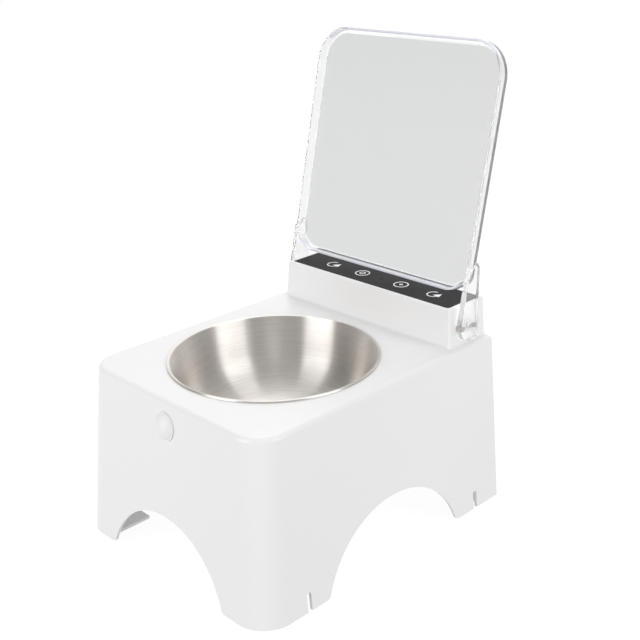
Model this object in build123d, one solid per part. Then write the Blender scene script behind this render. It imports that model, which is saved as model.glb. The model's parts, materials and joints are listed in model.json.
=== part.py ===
from build123d import *
import math
import os

# Automatic pet feeder with a lid that opens by itself, in millimetres, +Z up, front towards -Y.
# The origin is on the floor, under the middle of the feeder's overall depth with its lid open.

# ---------------------------------------------------------------- driving dimensions
DECK_WIDTH = 200.0
DECK_DEPTH = 246.0
DECK_Z = 141.0
SIDE_FLARE = 10.0
FRONT_FLARE = 14.0
FRONT_CORNER_R = 24.0
REAR_EDGE_R = 1.2
DECK_EDGE_R = 4.0
WALL = 2.6
SHELL_FOOT_Z = 0.8

HUMP_TOP_Z = 172.0
HUMP_HALF_TOP = 90.2
HUMP_HALF_BASE = 92.3
HUMP_FRONT_DRAFT = 2.0
HUMP_CORNER_R = 1.6
HUMP_BLEND_R = 2.0

LID_HALF_WIDTH = 95.5
LID_LENGTH = 189.4
LID_DEPTH = 9.0
LID_WALL = 2.0
LID_PLATE = 2.2
LID_NEAR = 23.5
LID_OUTER = -3.4
LID_TOP_CORNER_R = 28.0
LID_LOW_CORNER_R = 22.0
LID_EDGE_R = 1.6
LID_LEAN = 13.3
HINGE_Z = 156.3
ARM_INNER_X = 92.4
ARM_OUTER_X = 97.2
ARM_TAIL_R = 12.6
ARM_BACK = 8.6
ARM_TOP = 49.0

# The open lid leans back past the rear wall, so the overall depth runs from the front feet to its tip.
LEAN_SIN = math.sin(math.radians(LID_LEAN))
LEAN_COS = math.cos(math.radians(LID_LEAN))
HINGE_FROM_FRONT = 222.5
LID_TIP_FROM_FRONT = HINGE_FROM_FRONT + (LID_NEAR + LID_LENGTH) * LEAN_SIN + LID_OUTER * LEAN_COS
FRONT_Y = -(LID_TIP_FROM_FRONT - FRONT_FLARE) / 2
REAR_Y = FRONT_Y + DECK_DEPTH
HINGE_Y = FRONT_Y + HINGE_FROM_FRONT
HUMP_FRONT_Y = FRONT_Y + 202.2

BOWL_Y = FRONT_Y + 104.0
BOWL_RIM_R = 82.3
BOWL_MOUTH_R = 80.0
BOWL_FLOOR_R = 43.4
BOWL_FLOOR_Z = 88.0
BOWL_BEND_R = 32.0
BOWL_SHEET = 0.8
BOWL_RIM_TOP_Z = 142.4
BOWL_HOLE_R = 81.0
WELL_R = 81.4
WELL_WALL = 1.8
WELL_FLOOR_Z = 82.0

FRONT_ARCH_R = 69.0
FRONT_ARCH_PEAK = 49.5
SIDE_ARCH_R = 74.0
SIDE_ARCH_PEAK = 53.8
SIDE_ARCH_Y = FRONT_Y + 121.5
FOOT_CORNER_R = 4.0
SLOT_WIDTH = 4.2
SLOT_HEIGHT = 16.0
SLOTS_Y = [FRONT_Y + 30.8, FRONT_Y + 216.8]
PAD_R = 8.0
PAD_XY = [(sx * x, y) for sx in (-1, 1) for x, y in ((90.0, FRONT_Y + 9.0), (95.5, REAR_Y - 13.0))]

COVER_Z = 61.0
COVER_T = 2.5
COVER_GAP = 0.4
BOSS_R = 4.0
SCREW_HOLE_R = 1.3
COVER_SCREW_XY = [
    (sx * x, FRONT_Y + y) for sx in (-1, 1) for x, y in ((84.0, 20.0), (92.0, 112.0), (92.0, 236.0))
]

SENSOR_Z = 121.5
SENSOR_DOME_R = 11.0
SENSOR_DOME_H = 6.0
SENSOR_BARREL_R = 8.5

PANEL_HALF = 86.8
PANEL_Y = (FRONT_Y + 207.0, FRONT_Y + 244.2)
PANEL_T = 1.5
PANEL_DROP = 0.2
PANEL_CORNER_R = 2.5
PANEL_GAP = 0.15
TOUCH_BOARD_HALF = 82.5
TOUCH_BOARD_Z = (HUMP_TOP_Z - PANEL_DROP - PANEL_T - 1.4, HUMP_TOP_Z - PANEL_DROP - PANEL_T - 0.1)
INDICATOR_R = 1.7
INDICATOR_XY = (2.1, HINGE_Y + 1.3)
ICON_ARROW_R = 5.7
ICON_KEY_R = 6.4
ICON_ARROW_X = 56.0
ICON_KEY_X = 21.6
ICON_LINE = 0.95
ICON_T = 0.12

GEAR_MODULE = 0.8
PRESSURE_ANGLE = 25.0
GEAR_BACKLASH = 0.12
OUTPUT_TEETH = 20
IDLER_SMALL_TEETH = 12
IDLER_BIG_TEETH = 30
PINION_TEETH = 12
IDLER_Z = HINGE_Z - GEAR_MODULE * (OUTPUT_TEETH + IDLER_SMALL_TEETH) / 2
PINION_Z = IDLER_Z - GEAR_MODULE * (IDLER_BIG_TEETH + PINION_TEETH) / 2
SHAFT_R = 2.0
SHAFT_TIP_X = 96.4
SHAFT_END_X = -76.4
PIN_HEAD_X = (79.4, 80.8)
BUSH_R = 5.0
BUSH_X = (86.7, 91.8)
BUSH_FLANGE_T = 1.1
OUTPUT_X = (-81.2, -77.2)
IDLER_SMALL_X = (-81.6, -75.6)
IDLER_BIG_X = (-75.6, -71.6)
PINION_X = (-75.2, -71.2)
AXLE_R = 1.5
GEARBOX_X = (-84.5, -66.0)
GEARBOX_Y = (HUMP_FRONT_Y + 5.6, HUMP_FRONT_Y + 36.8)
GEARBOX_Z = (116.0, 165.4)
GEARBOX_PLATE = 2.0
GEARBOX_WALL = 1.4
GEARBOX_MOUNTS = [(HINGE_Y - 8.5, 124.5), (HINGE_Y + 8.5, 124.5), (HINGE_Y + 12.6, 157.5)]
GEARBOX_CORNERS = [(GEARBOX_Y[0] + 2.6, 118.8), (GEARBOX_Y[1] - 2.6, 118.8), (GEARBOX_Y[1] - 2.6, 162.4)]
MOTOR_R = 6.0
MOTOR_LENGTH = 15.0
GEARHEAD_LENGTH = 9.0
ARM_SCREW_R = 1.9
ARM_SCREW_END = 8.2
ARM_SCREW_PITCH = 1.3
MAGNET_AT = (-8.6, -3.2)
MAGNET_SIZE = (4.4, 3.8)
MAGNET_T = 3.0
RUNNING_GAP = 0.06

BOARD_Z = 80.0
BOARD_T = 1.6
BOARD_X = (36.0, 86.0)
BOARD_Y = (REAR_Y - 48.0, REAR_Y - WALL - 0.4)
SOCKET_X = 56.0
SWITCH_X = 74.0
PORT_Z = BOARD_Z + BOARD_T + 1.7
SWITCH_TRAVEL = 4.0
PORT_HINGE_X = SOCKET_X - 9.4
BOARD_POSTS = [(x, y) for x in (BOARD_X[0] + 5, BOARD_X[1] - 5) for y in (BOARD_Y[0] + 5, BOARD_Y[1] - 8)]

CELL_R = 7.1
CELL_LENGTH = 50.0
CELL_PITCH = 14.7
CELL_Z = 70.9
BATTERY_HALF = 31.0
BATTERY_Y = (REAR_Y - 57.0, REAR_Y - 4.2)
BATTERY_ROOF_Z = 79.6


# ---------------------------------------------------------------- shared shapes
def box(x0, x1, y0, y1, z0, z1):
    """A block between two corners."""
    return Pos((x0 + x1) / 2, (y0 + y1) / 2, (z0 + z1) / 2) * Box(abs(x1 - x0), abs(y1 - y0), abs(z1 - z0))


def rod_z(x, y, z0, z1, r):
    """A cylinder along Z."""
    return Pos(x, y, (z0 + z1) / 2) * Cylinder(r, abs(z1 - z0))


def rod_x(y, z, x0, x1, r):
    """A cylinder along X."""
    return Pos((x0 + x1) / 2, y, z) * Rot(0, 90, 0) * Cylinder(r, abs(x1 - x0))


def rod_y(x, z, y0, y1, r):
    """A cylinder along Y."""
    return Pos(x, (y0 + y1) / 2, z) * Rot(90, 0, 0) * Cylinder(r, abs(y1 - y0))


def both_sides(solid):
    """A shape and its mirror image across the feeder's middle."""
    return solid + mirror(solid, Plane.YZ)


def outline(half_width, y_front, y_rear, r_front, r_rear=0.0):
    """A rectangle in plan with its own corner radii at the front and the rear."""
    plan = Pos(0, (y_front + y_rear) / 2) * Rectangle(2 * half_width, y_rear - y_front)
    plan = fillet(plan.vertices().sort_by(Axis.Y)[:2], r_front)
    return fillet(plan.vertices().sort_by(Axis.Y)[-2:], r_rear) if r_rear else plan


def tapered_body(inset, z0, z1):
    """The flared housing between two heights, with its walls moved in by inset."""
    sections = []
    for z in (z0, z1):
        spread = (DECK_Z - z) / DECK_Z
        plan = outline(
            DECK_WIDTH / 2 + SIDE_FLARE * spread - inset,
            FRONT_Y - FRONT_FLARE * spread + inset,
            REAR_Y - inset,
            FRONT_CORNER_R + 2 * spread - inset,
        )
        sections.append(Pos(0, 0, z) * plan)
    return loft(sections)


def hump_body(inset, z0, z1):
    """The raised box behind the bowl between two heights, with its walls moved in by inset."""
    sections = []
    for z in (z0, z1):
        rise = (z - DECK_Z) / (HUMP_TOP_Z - DECK_Z)
        plan = outline(
            HUMP_HALF_BASE + (HUMP_HALF_TOP - HUMP_HALF_BASE) * rise - inset,
            HUMP_FRONT_Y + HUMP_FRONT_DRAFT * rise + inset,
            REAR_Y - inset,
            max(HUMP_CORNER_R - inset, 0.5),
        )
        sections.append(Pos(0, 0, z) * plan)
    return loft(sections)


def half_width_at(z):
    """Half the housing's outer width at a height."""
    return DECK_WIDTH / 2 + SIDE_FLARE * (DECK_Z - z) / DECK_Z


def edges_near(solid, z, y0, y1, half_width):
    """A solid's edges that lie at one height, inside a plan window."""
    found = []
    for edge in solid.edges():
        low, high = edge.bounding_box().min, edge.bounding_box().max
        level = abs(low.Z - z) < 0.01 and abs(high.Z - z) < 0.01
        inside = low.Y > y0 and high.Y < y1 and max(abs(low.X), abs(high.X)) < half_width
        if level and inside:
            found.append(edge)
    return found


# ---------------------------------------------------------------- housing
def make_outer_form():
    """The outside of the housing: flared body, hump, soft blend between them and soft edges."""
    body = tapered_body(0, SHELL_FOOT_Z, DECK_Z)
    rim = edges_near(body, DECK_Z, FRONT_Y - 1, REAR_Y + 1, DECK_WIDTH / 2 + 1)
    body = fillet([e for e in rim if e.center().Y < REAR_Y - 1], DECK_EDGE_R)
    form = body + hump_body(0, DECK_Z - 12, HUMP_TOP_Z)
    blend = edges_near(form, DECK_Z, HUMP_FRONT_Y - 1, REAR_Y + 1, HUMP_HALF_BASE + 1)
    form = fillet([e for e in blend if e.center().Y < REAR_Y - 1], HUMP_BLEND_R)
    rear = [e for e in form.edges() if e.bounding_box().min.Y > REAR_Y - 0.01]
    rear = [e for e in rear if e.bounding_box().max.Z > SHELL_FOOT_Z + 1]
    top = edges_near(form, HUMP_TOP_Z, FRONT_Y, REAR_Y - 1, DECK_WIDTH)
    return fillet(top + rear, REAR_EDGE_R)


def make_arches():
    """The round cut-outs that leave the housing standing on four legs, and the slots in the legs."""
    front = rod_y(0, FRONT_ARCH_PEAK - FRONT_ARCH_R, FRONT_Y - 40, FRONT_Y + 20, FRONT_ARCH_R)
    rear = rod_y(0, FRONT_ARCH_PEAK - FRONT_ARCH_R, REAR_Y - 20, REAR_Y + 20, FRONT_ARCH_R)
    side = rod_x(SIDE_ARCH_Y, SIDE_ARCH_PEAK - SIDE_ARCH_R, 85, 130, SIDE_ARCH_R)
    cuts = front + rear + both_sides(side)
    for y in SLOTS_Y:
        straight = box(90, 120, y - SLOT_WIDTH / 2, y + SLOT_WIDTH / 2, -1, SLOT_HEIGHT - SLOT_WIDTH / 2)
        slot = straight + rod_x(y, SLOT_HEIGHT - SLOT_WIDTH / 2, 90, 120, SLOT_WIDTH / 2)
        cuts += both_sides(slot)
    return cuts


def foot_tips(shell):
    """The sharp bottom corners that the arches leave on the legs."""
    tips = []
    for edge in edges_near(shell, SHELL_FOOT_Z, FRONT_Y - 30, REAR_Y + 1, 130):
        c = edge.center()
        across_front = abs(abs(c.X) - math.sqrt(FRONT_ARCH_R**2 - (FRONT_ARCH_PEAK - FRONT_ARCH_R) ** 2)) < 3
        side_reach = math.sqrt(SIDE_ARCH_R**2 - (SIDE_ARCH_PEAK - SIDE_ARCH_R) ** 2)
        across_side = abs(abs(c.Y - SIDE_ARCH_Y) - side_reach) < 3 and abs(c.X) > 95
        if edge.length < 2 * WALL and (across_front or across_side):
            tips.append(edge)
    return tips


def sensor_plane():
    """The plane of the sloping front wall at the sensor, facing outwards."""
    slope = math.atan(FRONT_FLARE / DECK_Z)
    y = FRONT_Y - FRONT_FLARE * (DECK_Z - SENSOR_Z) / DECK_Z
    return Plane(origin=(0, y, SENSOR_Z), x_dir=(1, 0, 0), z_dir=(0, -math.cos(slope), math.sin(slope)))


def make_body_shell():
    """The one-piece moulded housing with its legs, hump, screw bosses and openings."""
    outer = make_outer_form()
    cavity = tapered_body(WALL, SHELL_FOOT_Z - 1, DECK_Z - WALL)
    cavity += hump_body(WALL, DECK_Z - 12, HUMP_TOP_Z - WALL)
    shell = outer - cavity
    shell -= make_arches()
    shell = fillet(foot_tips(shell), FOOT_CORNER_R)

    # Level soles close the four legs and carry the rubber pads.
    front_sole = box(74, 112, FRONT_Y - 16, FRONT_Y + 25, SHELL_FOOT_Z, SHELL_FOOT_Z + 2.4)
    rear_sole = box(80, 112, REAR_Y - 23, REAR_Y + 1, SHELL_FOOT_Z, SHELL_FOOT_Z + 2.4)
    soles = both_sides(front_sole) + both_sides(rear_sole)
    soles = tapered_body(1.0, SHELL_FOOT_Z, SHELL_FOOT_Z + 4) & soles
    shell += soles
    for x, y in PAD_XY:
        shell -= rod_z(x, y, 0, SHELL_FOOT_Z + 0.8, PAD_R)

    for x, y in COVER_SCREW_XY:
        shell += rod_z(x, y, COVER_Z + COVER_T, DECK_Z - WALL + 0.6, BOSS_R)
        shell -= rod_z(x, y, COVER_Z, COVER_Z + COVER_T + 14, SCREW_HOLE_R)

    for y, z in GEARBOX_MOUNTS:
        wall_x = half_width_at(z) if z < DECK_Z else HUMP_HALF_TOP + 0.9
        shell += rod_x(y, z, -wall_x + 1.4, GEARBOX_X[0], 3.2)
        shell -= rod_x(y, z, GEARBOX_X[0] - 3.4, GEARBOX_X[0] + 1, 1.0)

    shell -= rod_z(0, BOWL_Y, DECK_Z - 10, DECK_Z + 1, BOWL_HOLE_R)
    shell -= rod_x(HINGE_Y, HINGE_Z, -95, -84, BUSH_R)
    shell -= rod_x(HINGE_Y, HINGE_Z, 84, 95, BUSH_R)

    barrel = Cylinder(SENSOR_BARREL_R, 12)
    shell -= sensor_plane() * barrel

    # The touch panel drops into a shallow pocket, over a window for its board.
    front, back = PANEL_Y
    pocket = outline(PANEL_HALF + PANEL_GAP, front - PANEL_GAP, back + PANEL_GAP, PANEL_CORNER_R, 0.6)
    shell -= extrude(Pos(0, 0, HUMP_TOP_Z - PANEL_T - PANEL_DROP) * pocket, PANEL_T + 2)
    window_half = TOUCH_BOARD_HALF + 1
    shell -= box(-window_half, window_half, front + 3.2, back - 3.2, HUMP_TOP_Z - 6, HUMP_TOP_Z)

    # Charging port and switch windows share one shallow recess in the rear wall.
    x0, x1 = SOCKET_X - 13, SWITCH_X + 9
    shell -= box(x0, x1, REAR_Y - 1.2, REAR_Y + 1, PORT_Z - 6, PORT_Z + 6)
    shell -= box(SOCKET_X - 4.8, SOCKET_X + 4.8, REAR_Y - WALL - 1, REAR_Y, PORT_Z - 1.9, PORT_Z + 1.9)
    shell -= box(SWITCH_X - 4.6, SWITCH_X + 4.6, REAR_Y - WALL - 1, REAR_Y, PORT_Z - 1.7, PORT_Z + 1.7)
    return shell


def make_foot_pads():
    """Rubber pads under the four legs."""
    return [fillet(rod_z(x, y, 0, 1.6, PAD_R - 0.1).edges().sort_by(Axis.Z)[:1], 0.4) for x, y in PAD_XY]


def make_bottom_cover():
    """The plate that closes the housing above the arches, with the battery box and the door's rails."""
    spread = (DECK_Z - COVER_Z - COVER_T) / DECK_Z
    inset = WALL + COVER_GAP
    plan = outline(
        DECK_WIDTH / 2 + SIDE_FLARE * spread - inset,
        FRONT_Y - FRONT_FLARE * spread + inset,
        REAR_Y - inset,
        FRONT_CORNER_R + 2 * spread - inset,
    )
    cover = extrude(Pos(0, 0, COVER_Z) * plan, COVER_T)
    wall = 1.4
    y0, y1 = BATTERY_Y
    cover += box(-BATTERY_HALF - wall, BATTERY_HALF + wall, y0 - wall, y1 + wall, COVER_Z, BATTERY_ROOF_Z)
    cover -= box(-BATTERY_HALF, BATTERY_HALF, y0, y1, COVER_Z - 1, BATTERY_ROOF_Z - wall)
    for x, y in COVER_SCREW_XY:
        cover -= rod_z(x, y, COVER_Z - 1, COVER_Z + COVER_T + 1, 1.7)
        cover -= rod_z(x, y, COVER_Z - 1, COVER_Z + 1.3, 3.2)
    for x, y in BOARD_POSTS:
        cover += rod_z(x, y, COVER_Z + 1, BOARD_Z, 3.0)
        cover -= rod_z(x, y, BOARD_Z - 8, BOARD_Z + 1, 1.0)
    # Two hooked rails let the battery door slide forwards.
    rail = box(36.2, 38.6, y0 - 26, y1 + 1.5, COVER_Z - 4.4, COVER_Z + 0.5)
    rail += box(33.8, 38.6, y0 - 26, y1 + 1.5, COVER_Z - 4.4, COVER_Z - 3.0)
    cover += both_sides(rail)
    # Ribs stiffen the wide front half.
    for x in (-60, -20, 20, 60):
        cover += box(x - 0.8, x + 0.8, FRONT_Y + 6, y0 - 6, COVER_Z + 1, COVER_Z + COVER_T + 5)
    return cover


def make_battery_door():
    """The sliding door under the cells, with finger ribs."""
    y0, y1 = BATTERY_Y
    door = box(-35.8, 35.8, y0 - 4, y1 + 1.2, COVER_Z - 2.6, COVER_Z - 0.2)
    door = fillet(door.edges().filter_by(Axis.Z), 2.0)
    for i in range(5):
        y = y0 + 8 + 3 * i
        door += box(-12, 12, y - 0.6, y + 0.6, COVER_Z - 3.3, COVER_Z - 2.4)
    return door


def make_bowl_well():
    """The moulded cup under the deck that keeps the bowl away from the works."""
    z_top = DECK_Z - WALL
    profile = Polyline(
        (0, WELL_FLOOR_Z),
        (WELL_R + WELL_WALL, WELL_FLOOR_Z),
        (WELL_R + WELL_WALL, z_top - 2),
        (WELL_R + 5, z_top - 2),
        (WELL_R + 5, z_top),
        (WELL_R, z_top),
        (WELL_R, WELL_FLOOR_Z + 2),
        (0, WELL_FLOOR_Z + 2),
        close=True,
    )
    cup = revolve(make_face(Plane.XZ * profile), Axis.Z)
    return Pos(0, BOWL_Y, 0) * cup


def bowl_wall(offset):
    """The bowl's curve in its own section, moved outwards by offset: where its bend starts, passes and ends,
    and how far out its straight upper wall stands for each step up."""
    centre_z = BOWL_FLOOR_Z + BOWL_BEND_R
    out, up = BOWL_MOUTH_R - BOWL_FLOOR_R, BOWL_RIM_TOP_Z - centre_z
    end = math.atan2(up, out) - math.acos(BOWL_BEND_R / math.hypot(out, up))
    r = BOWL_BEND_R + offset
    points = []
    for angle in (-math.pi / 2, (end - math.pi / 2) / 2, end):
        points.append((BOWL_FLOOR_R + r * math.cos(angle), centre_z + r * math.sin(angle)))
    return points, -math.tan(end)


def make_food_bowl():
    """The spun steel bowl: a flat floor, a wide bend up into a steep wall, and a rim that rests on the deck."""
    inner, _ = bowl_wall(0)
    outer, steepness = bowl_wall(BOWL_SHEET)
    rim_under_r = outer[2][0] + steepness * (DECK_Z - outer[2][1])
    profile = [
        Line((0, outer[0][1]), outer[0]),
        ThreePointArc(*outer),
        Line(outer[2], (rim_under_r, DECK_Z)),
        Line((rim_under_r, DECK_Z), (BOWL_RIM_R, DECK_Z)),
        Line((BOWL_RIM_R, DECK_Z), (BOWL_RIM_R, BOWL_RIM_TOP_Z)),
        Line((BOWL_RIM_R, BOWL_RIM_TOP_Z), (BOWL_MOUTH_R, BOWL_RIM_TOP_Z)),
        Line((BOWL_MOUTH_R, BOWL_RIM_TOP_Z), inner[2]),
        ThreePointArc(*reversed(inner)),
        Line(inner[0], (0, inner[0][1])),
        Line((0, inner[0][1]), (0, outer[0][1])),
    ]
    bowl = revolve(Plane.XZ * make_face(Curve() + profile), Axis.Z)
    for r, bend in ((BOWL_RIM_R, 0.65), (BOWL_MOUTH_R, 0.9)):
        top = [e for e in bowl.edges() if abs(e.center().Z - BOWL_RIM_TOP_Z) < 0.05]
        bowl = fillet([e for e in top if abs(e.length - 2 * math.pi * r) < 0.5], bend)
    return Pos(0, BOWL_Y, 0) * bowl


# ---------------------------------------------------------------- lid
def lid_place():
    """From the lid's own frame (X across, Y outwards, Z along the lid from the hinge) to the open lid."""
    return Pos(0, HINGE_Y, HINGE_Z) * Rot(-LID_LEAN, 0, 0)


def lid_outline(inset):
    """The lid's face in its own XZ plane, standing on its lower edge, moved in by inset."""
    half = LID_HALF_WIDTH - inset
    z0, z1 = LID_NEAR + inset, LID_NEAR + LID_LENGTH - inset
    face = Pos(0, (z0 + z1) / 2) * Rectangle(2 * half, z1 - z0)
    face = fillet(face.vertices().sort_by(Axis.Y)[-2:], LID_TOP_CORNER_R - inset)
    face = fillet(face.vertices().sort_by(Axis.Y)[:2], LID_LOW_CORNER_R - inset)
    return face


def lid_block(inset, y0, y1):
    """The lid's outline extruded between two distances from the hinge plane."""
    plane = Plane(origin=(0, y1, 0), x_dir=(1, 0, 0), z_dir=(0, -1, 0))
    return extrude(plane * lid_outline(inset), y1 - y0)


def make_arm(side):
    """A flat hinge arm in the lid's own frame: rounded about the hinge, running up into the lid's rim."""
    front = LID_OUTER - LID_DEPTH
    front_low = -math.sqrt(ARM_TAIL_R**2 - front**2)
    back_low = -math.sqrt(ARM_TAIL_R**2 - ARM_BACK**2)
    profile = [
        Line((front, front_low), (front, ARM_TOP - 7)),
        Line((front, ARM_TOP - 7), (LID_OUTER, ARM_TOP)),
        Line((LID_OUTER, ARM_TOP), (LID_OUTER + 2.6, ARM_TOP - 4)),
        Line((LID_OUTER + 2.6, ARM_TOP - 4), (LID_OUTER + 4.6, ARM_TOP - 15)),
        Line((LID_OUTER + 4.6, ARM_TOP - 15), (ARM_BACK, 0)),
        Line((ARM_BACK, 0), (ARM_BACK, back_low)),
        ThreePointArc((ARM_BACK, back_low), (0, -ARM_TAIL_R), (front, front_low)),
    ]
    face = make_face(Curve() + profile)
    plane = Plane(origin=(side * ARM_INNER_X, 0, 0), x_dir=(0, 1, 0), z_dir=(1, 0, 0))
    return extrude(plane * face, side * (ARM_OUTER_X - ARM_INNER_X))


def make_arm_screw(side):
    """The set screw that pinches an arm on its shaft, lying along the arm's width, in the lid's own frame."""
    x = side * (ARM_INNER_X + ARM_OUTER_X) / 2
    screw = rod_y(x, 0, SHAFT_R, ARM_SCREW_END, ARM_SCREW_R - 0.35)
    crests = int((ARM_SCREW_END - SHAFT_R - 0.8) / ARM_SCREW_PITCH)
    for i in range(crests):
        y = SHAFT_R + 0.8 + ARM_SCREW_PITCH * i
        screw += rod_y(x, 0, y, y + 0.6 * ARM_SCREW_PITCH, ARM_SCREW_R)
    return screw - rod_y(x, 0, ARM_SCREW_END - 1.6, ARM_SCREW_END + 1, 0.9)


def make_lid_cover():
    """The clear lid: a flat field with a deep rim on four sides and two hinge arms."""
    lid = lid_block(0, LID_OUTER - LID_DEPTH, LID_OUTER)
    lid = fillet(lid.faces().sort_by(Axis.Y)[-1].edges(), LID_EDGE_R)
    lid -= lid_block(LID_WALL, LID_OUTER - LID_DEPTH - 1, LID_OUTER - LID_PLATE)
    # The flat field is a little thicker than the border round it.
    field = Plane(origin=(0, LID_OUTER - LID_PLATE + 0.2, 0), x_dir=(1, 0, 0), z_dir=(0, -1, 0))
    lid += extrude(field * lid_field_outline(), 0.9)
    for side in (-1, 1):
        arm = make_arm(side)
        arm -= rod_x(0, 0, side * (ARM_INNER_X - 1), side * SHAFT_TIP_X, SHAFT_R)
        arm -= rod_y(side * (ARM_INNER_X + ARM_OUTER_X) / 2, 0, 0, ARM_BACK + 1, ARM_SCREW_R)
        lid += arm
    lid -= magnet_block(0.1)
    return lid_place() * lid


def magnet_block(gap):
    """The magnet in the right arm, or with a gap the pocket that holds it, in the lid's own frame."""
    (o, a), (width, height) = MAGNET_AT, MAGNET_SIZE
    x0 = ARM_INNER_X + 0.5 - (2.0 if gap else 0.0)
    x1 = ARM_INNER_X + 0.5 + MAGNET_T + gap
    half_o, half_a = width / 2 + gap, height / 2 + gap
    block = box(x0, x1, o - half_o, o + half_o, a - half_a, a + half_a)
    return fillet(block.edges().filter_by(Axis.X), 0.8)


def lid_field_outline():
    """The thick flat field in the middle of the lid, in the lid's own XZ plane."""
    half, low, high = 83.3, LID_NEAR + 4.2, LID_NEAR + LID_LENGTH - 4.6
    face = Pos(0, (low + high) / 2) * Rectangle(2 * half, high - low)
    return fillet(face.vertices(), 20.0)


def make_hinge_pin():
    """The plain steel pin of the right-hand hinge, with a flat head."""
    pin = rod_x(0, 0, PIN_HEAD_X[1] - 0.4, SHAFT_TIP_X, SHAFT_R)
    pin += rod_x(0, 0, *PIN_HEAD_X, SHAFT_R + 1.8)
    return lid_place() * pin


def make_arm_screws():
    """The set screws in both arms."""
    return [lid_place() * make_arm_screw(side) for side in (-1, 1)]


def make_arm_magnet():
    """The small magnet in the right arm that tells the hall sensor where the lid is."""
    return lid_place() * magnet_block(0.0)


def make_bush(side):
    """A flanged plastic bush that carries the hinge in the hump's side wall."""
    x0, x1 = side * BUSH_X[0], side * BUSH_X[1]
    barrel = rod_x(HINGE_Y, HINGE_Z, x0, x1, BUSH_R - 0.02)
    flange = rod_x(HINGE_Y, HINGE_Z, x0, x0 + side * BUSH_FLANGE_T, BUSH_R + 1.2)
    return barrel + flange - rod_x(HINGE_Y, HINGE_Z, x0 - side, x1 + side, SHAFT_R + RUNNING_GAP)


# ---------------------------------------------------------------- gear train
def involute(angle):
    """The involute of an angle in radians."""
    return math.tan(angle) - angle


def gear_points(teeth, tooth_turn):
    """The outline of a spur gear, one tooth centred on +Y turned by tooth_turn degrees."""
    pitch_r = GEAR_MODULE * teeth / 2
    tip_r = pitch_r + 0.9 * GEAR_MODULE
    root_r = pitch_r - 1.2 * GEAR_MODULE
    base_r = pitch_r * math.cos(math.radians(PRESSURE_ANGLE))
    half = math.pi / (2 * teeth) - GEAR_BACKLASH / (2 * pitch_r) + involute(math.radians(PRESSURE_ANGLE))
    flank_start = max(base_r, root_r)
    steps = 4
    points = []
    for tooth in range(teeth):
        middle = math.radians(90 + tooth_turn) + 2 * math.pi * tooth / teeth
        flank = []
        for i in range(steps + 1):
            r = flank_start + (tip_r - flank_start) * i / steps
            flank.append((r, half - involute(math.acos(min(1.0, base_r / r)))))
        if root_r < flank_start:
            flank.insert(0, (root_r, flank[0][1]))
        for r, a in flank:
            points.append((r * math.cos(middle - a), r * math.sin(middle - a)))
        for r, a in reversed(flank):
            points.append((r * math.cos(middle + a), r * math.sin(middle + a)))
    return points


def spur_gear(teeth, tooth_turn, z, x0, x1):
    """A spur gear on an axis along X, level with the hinge, between two stations."""
    face = make_face(Polyline(*gear_points(teeth, tooth_turn), close=True))
    plane = Plane(origin=(x0, HINGE_Y, z), x_dir=(0, 1, 0), z_dir=(1, 0, 0))
    return extrude(plane * face, x1 - x0)


def make_drive_shaft():
    """The steel shaft that turns the left arm."""
    return rod_x(HINGE_Y, HINGE_Z, -SHAFT_TIP_X, SHAFT_END_X, SHAFT_R)


def make_output_gear():
    """The last gear, fixed on the drive shaft. A gap faces the idler below it."""
    gear = spur_gear(OUTPUT_TEETH, 180.0 / OUTPUT_TEETH, HINGE_Z, *OUTPUT_X)
    return gear - rod_x(HINGE_Y, HINGE_Z, OUTPUT_X[0] - 1, OUTPUT_X[1] + 1, SHAFT_R)


def make_idler_gear():
    """The two-step idler: its small gear drives the output gear, its big gear is driven by the pinion."""
    gear = spur_gear(IDLER_SMALL_TEETH, 0, IDLER_Z, *IDLER_SMALL_X)
    gear += spur_gear(IDLER_BIG_TEETH, 0, IDLER_Z, *IDLER_BIG_X)
    return gear - rod_x(HINGE_Y, IDLER_Z, -90, -60, AXLE_R + RUNNING_GAP)


def make_drive_pinion():
    """The motor's pinion. One of its gaps faces the idler's big gear above it."""
    gear = spur_gear(PINION_TEETH, 180.0 / PINION_TEETH, PINION_Z, *PINION_X)
    return gear - rod_x(HINGE_Y, PINION_Z, -80, -60, AXLE_R)


def make_gearbox_case():
    """The open tray that holds the gears: outer plate, three sides and screw posts."""
    x0, x1 = GEARBOX_X
    (y0, y1), (z0, z1) = GEARBOX_Y, GEARBOX_Z
    plate_x = x0 + GEARBOX_PLATE
    case = box(x0, x1 - GEARBOX_PLATE, y0, y1, z0, z1)
    case -= box(plate_x, x1, y0 + GEARBOX_WALL, y1 - GEARBOX_WALL, z0 + GEARBOX_WALL, z1 + 1)
    for y, z in GEARBOX_CORNERS:
        case += box(plate_x - 0.5, x1 - GEARBOX_PLATE, y - 2.4, y + 2.4, z - 2.4, z + 2.4)
        case -= rod_x(y, z, x1 - 10, x1, 0.9)
    for y, z in GEARBOX_MOUNTS:
        case -= rod_x(y, z, x0 - 1, plate_x + 1, 1.3)
    case -= rod_x(HINGE_Y, HINGE_Z, x0 - 1, plate_x + 1, SHAFT_R + 0.5)
    case -= rod_x(HINGE_Y, IDLER_Z, x0 + 0.6, plate_x + 1, AXLE_R)
    return case


def make_gearbox_cover():
    """The plate that closes the gear tray and carries the motor."""
    x0, x1 = GEARBOX_X[1] - GEARBOX_PLATE, GEARBOX_X[1]
    (y0, y1), (z0, z1) = GEARBOX_Y, GEARBOX_Z
    cover = box(x0, x1, y0, y1, z0, z1)
    for y, z in GEARBOX_CORNERS:
        cover -= rod_x(y, z, x0 - 1, x1 + 1, 1.2)
    cover -= rod_x(HINGE_Y, IDLER_Z, x0 - 1, x1 - 0.6, AXLE_R)
    cover -= rod_x(HINGE_Y, PINION_Z, x0 - 1, x1 + 1, 2.6)
    return cover


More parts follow.
